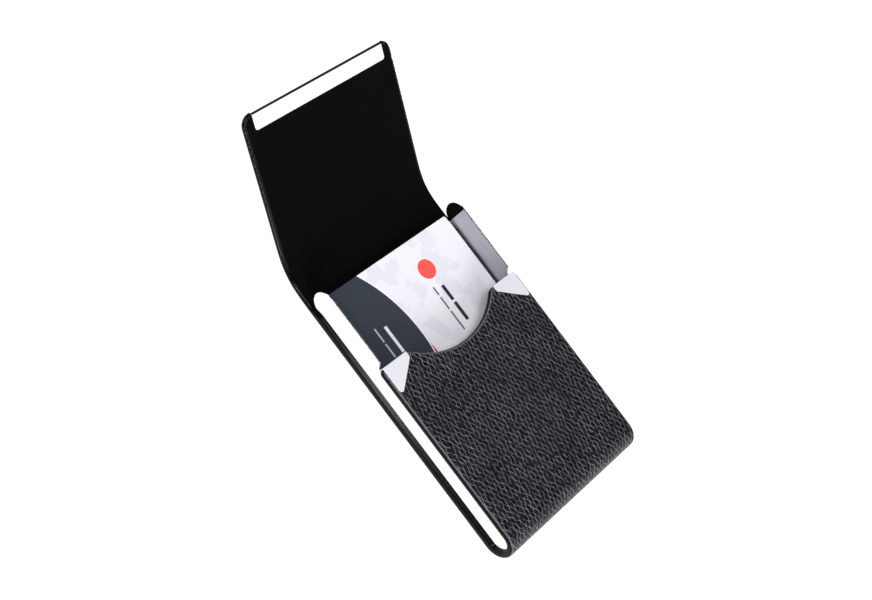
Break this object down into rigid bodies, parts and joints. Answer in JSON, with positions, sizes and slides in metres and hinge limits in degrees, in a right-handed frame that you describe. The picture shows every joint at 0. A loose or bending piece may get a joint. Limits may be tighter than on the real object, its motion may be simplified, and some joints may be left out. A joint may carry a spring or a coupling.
{
  "type": "business card case",
  "caption": "Upright pocket case for business cards: pebbled black leather over board, steel side plates and a folding flap that holds shut by magnet.",
  "frame": {"origin": "centre of the back's width on the back's outer face, 51.5 mm up from the bottom end", "axes": "+Z out of the front panel, +Y along the case towards the hinge and flap, +X to the right seen from the front"},
  "size_m": [0.0686, 0.1551, 0.0318],
  "materials": {
    "pebbled_leather": "pebble grain, satin",
    "velvet_lining": "short black nap, matt",
    "stiff_board": "pressed grey board",
    "brushed_steel": "brushed lengthwise",
    "polished_steel": "polished",
    "magnet": "nickel plated",
    "printed_card": "linen-textured card stock"
  },
  "bodies": {
    "case": {"cover_leather": "pebbled_leather", "core_board": "stiff_board", "pocket_lining": "velvet_lining", "card_tray": "brushed_steel", "side_plate_left": "polished_steel", "side_plate_right": "polished_steel", "corner_guard_left": "polished_steel", "corner_guard_right": "polished_steel", "clasp_magnet_left": "magnet", "clasp_magnet_right": "magnet"},
    "hinge_step_1": {"hinge_leather_1": "pebbled_leather", "hinge_lining_1": "velvet_lining"},
    "hinge_step_2": {"hinge_leather_2": "pebbled_leather", "hinge_lining_2": "velvet_lining"},
    "hinge_step_3": {"hinge_leather_3": "pebbled_leather", "hinge_lining_3": "velvet_lining"},
    "hinge_step_4": {"hinge_leather_4": "pebbled_leather", "hinge_lining_4": "velvet_lining"},
    "flap": {"flap_leather": "pebbled_leather", "flap_board": "stiff_board", "flap_lining": "velvet_lining", "flap_strip": "polished_steel"},
    "card_1": {"card_1": "printed_card"},
    "card_2": {"card_2": "printed_card"},
    "card_3": {"card_3": "printed_card"}
  },
  "joints": [
    {"name": "flap_hinge", "type": "hinge", "parent": "case", "child": "hinge_step_1", "pos_m": [0, 0.04627, 0.0019], "axis": [-1, 0, 0], "range_deg": [-44.7, 5.51]},
    {"name": "flap_bend_2", "type": "hinge", "parent": "hinge_step_1", "child": "hinge_step_2", "pos_m": [0, 0.0507, 0.00192], "axis": [-1, 0, 0], "range_deg": [-41.82, 5.17]},
    {"name": "flap_bend_3", "type": "hinge", "parent": "hinge_step_2", "child": "hinge_step_3", "pos_m": [0, 0.05512, 0.00219], "axis": [-1, 0, 0], "range_deg": [-33.62, 4.16]},
    {"name": "flap_bend_4", "type": "hinge", "parent": "hinge_step_3", "child": "hinge_step_4", "pos_m": [0, 0.0594, 0.00333], "axis": [-1, 0, 0], "range_deg": [-33.32, 4.12]},
    {"name": "flap_bend_5", "type": "hinge", "parent": "hinge_step_4", "child": "flap", "pos_m": [0, 0.06337, 0.00532], "axis": [-1, 0, 0], "range_deg": [-0.93, 7.42]},
    {"name": "card_1_slide", "type": "slide", "parent": "case", "child": "card_1", "axis": [0, 1, 0], "range_m": [-0.0015, 0.0005]},
    {"name": "card_2_slide", "type": "slide", "parent": "case", "child": "card_2", "axis": [0, 1, 0], "range_m": [-0.0015, 0.0005]},
    {"name": "card_3_slide", "type": "slide", "parent": "case", "child": "card_3", "axis": [0, 1, 0], "range_m": [-0.0015, 0.0005]}
  ],
  "couplings": [
    {"joint": "flap_bend_2", "follows": "flap_hinge", "ratio": 0.93512},
    {"joint": "flap_bend_3", "follows": "flap_hinge", "ratio": 0.75168},
    {"joint": "flap_bend_4", "follows": "flap_hinge", "ratio": 0.74497},
    {"joint": "flap_bend_5", "follows": "flap_hinge", "ratio": -0.16555}
  ]
}
